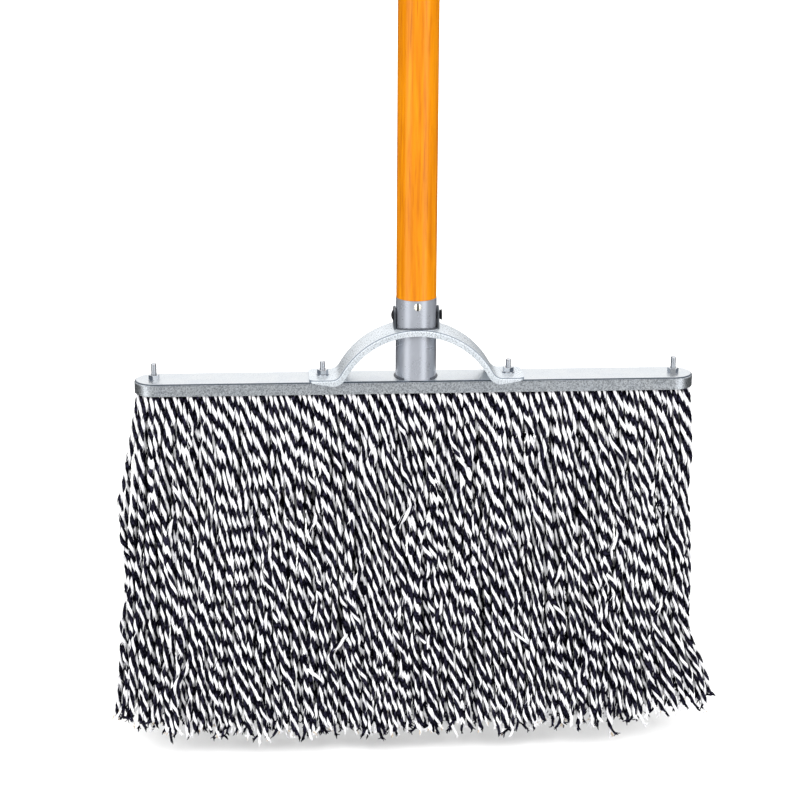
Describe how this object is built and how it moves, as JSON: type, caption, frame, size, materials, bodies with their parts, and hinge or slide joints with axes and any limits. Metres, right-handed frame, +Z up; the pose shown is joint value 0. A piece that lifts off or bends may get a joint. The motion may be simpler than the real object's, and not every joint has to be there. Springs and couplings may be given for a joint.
{
  "type": "flat mop",
  "caption": "Flat yarn mop: wooden handle in a steel socket and arched bridge over a channel plate, whose bolted lower bar clamps a wide fringe of two-colour twisted cotton yarn.",
  "frame": {"origin": "on the vertical middle line of the mop, level with the tips of the hanging yarn", "axes": "+Z up the handle, +X along the plate to the right, -Y the front, on which the handle's screw is"},
  "size_m": [0.444, 0.04, 1.4961],
  "materials": {
    "varnished_wood": "orange-tinted varnish, satin to gloss",
    "painted_tube": "satin grey paint on steel",
    "weld_steel": "painted weld bead",
    "bridge_steel": "bright zinc plate, pressed",
    "black_rivet": "black oxide, dull",
    "screw_steel": "nickel-plated, slotted",
    "plate_zinc": "bright zinc plate, blue-white, grainy flange",
    "fastener_zinc": "bright zinc plate, machined",
    "bar_steel": "plain zinc-plated strip",
    "canvas_tape": "unbleached cotton canvas tape, sewn",
    "yarn_cotton": "two-ply cotton yarn, one black ply and one white"
  },
  "bodies": {
    "root": {"handle": "varnished_wood", "socket_tube": "painted_tube", "weld_left": "weld_steel", "weld_right": "weld_steel", "bridge_bracket": "bridge_steel", "cross_rivet": "black_rivet", "handle_screw": "screw_steel", "top_plate": "plate_zinc", "washer_left": "fastener_zinc", "washer_right": "fastener_zinc"},
    "clamp": {"clamp_bar": "bar_steel", "bolt_end_left": "fastener_zinc", "bolt_mid_left": "fastener_zinc", "bolt_mid_right": "fastener_zinc", "bolt_end_right": "fastener_zinc", "header_tape": "canvas_tape", "yarn_fold": "yarn_cotton"},
    "nut_end_left": {"nut_end_left": "fastener_zinc"},
    "nut_mid_left": {"nut_mid_left": "fastener_zinc"},
    "nut_mid_right": {"nut_mid_right": "fastener_zinc"},
    "nut_end_right": {"nut_end_right": "fastener_zinc"},
    "yarn_front": {"yarn_front": "yarn_cotton"},
    "yarn_back": {"yarn_back": "yarn_cotton"}
  },
  "joints": [
    {"name": "clamp_open", "type": "slide", "parent": "root", "child": "clamp", "axis": [0, 0, -1], "range_m": [0, 0.0056]},
    {"name": "nut_end_left_spin", "type": "hinge", "parent": "root", "child": "nut_end_left", "pos_m": [-0.186, 0, 0.288], "axis": [0, 0, 1], "range_deg": [0, 2881]},
    {"name": "nut_mid_left_spin", "type": "hinge", "parent": "root", "child": "nut_mid_left", "pos_m": [-0.0665, 0, 0.288], "axis": [0, 0, 1], "range_deg": [0, 2881]},
    {"name": "nut_mid_right_spin", "type": "hinge", "parent": "root", "child": "nut_mid_right", "pos_m": [0.0665, 0, 0.288], "axis": [0, 0, 1], "range_deg": [0, 2881]},
    {"name": "nut_end_right_spin", "type": "hinge", "parent": "root", "child": "nut_end_right", "pos_m": [0.186, 0, 0.288], "axis": [0, 0, 1], "range_deg": [0, 2881]},
    {"name": "yarn_front_swing", "type": "hinge", "parent": "clamp", "child": "yarn_front", "pos_m": [0, -0.0135, 0.2698], "axis": [-1, 0, 0], "range_deg": [0, 75]},
    {"name": "yarn_back_swing", "type": "hinge", "parent": "clamp", "child": "yarn_back", "pos_m": [0, 0.0135, 0.2698], "axis": [1, 0, 0], "range_deg": [0, 75]}
  ],
  "couplings": [
    {"joint": "nut_end_left_spin", "follows": "clamp_open", "rad_per_m": 8976},
    {"joint": "nut_mid_left_spin", "follows": "clamp_open", "rad_per_m": 8976},
    {"joint": "nut_mid_right_spin", "follows": "clamp_open", "rad_per_m": 8976},
    {"joint": "nut_end_right_spin", "follows": "clamp_open", "rad_per_m": 8976}
  ]
}
